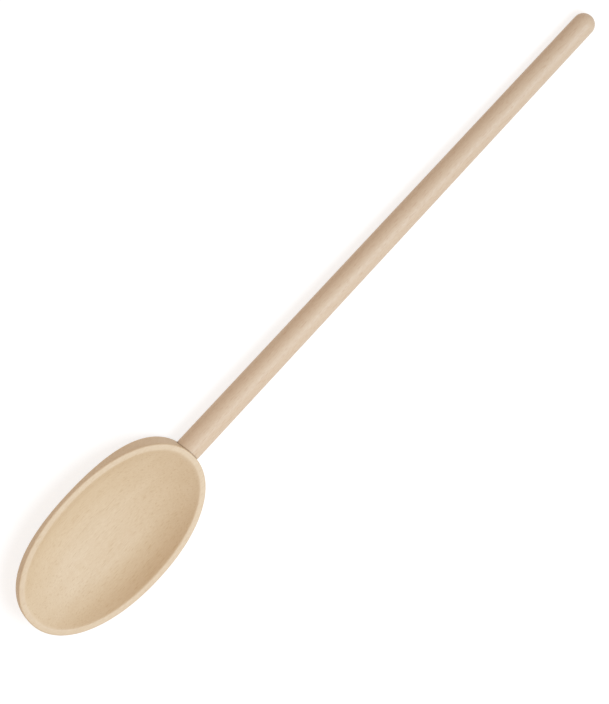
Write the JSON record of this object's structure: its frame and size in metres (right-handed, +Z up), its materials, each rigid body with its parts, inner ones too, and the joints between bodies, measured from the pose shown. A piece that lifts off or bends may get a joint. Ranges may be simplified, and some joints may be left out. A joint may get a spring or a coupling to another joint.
{
  "type": "serving spoon",
  "caption": "Long wooden serving spoon with a shallow oval bowl, a narrow flat rim and a plain round tapering handle with a domed end, for stirring and serving food.",
  "frame": {"origin": "on the table, under the middle of the spoon's overall length and width", "axes": "+X along the handle to its domed end, +Y across the bowl, +Z up out of the bowl, square to the plane of the rim"},
  "size_m": [0.4, 0.065, 0.0175],
  "materials": {
    "head_wood": "sanded, unfinished, matt",
    "handle_wood": "turned and sanded, unfinished, matt",
    "wood_glue": "cured, satin"
  },
  "bodies": {
    "root": {"spoon_head": "head_wood", "handle": "handle_wood", "glue_film": "wood_glue"}
  },
  "joints": []
}
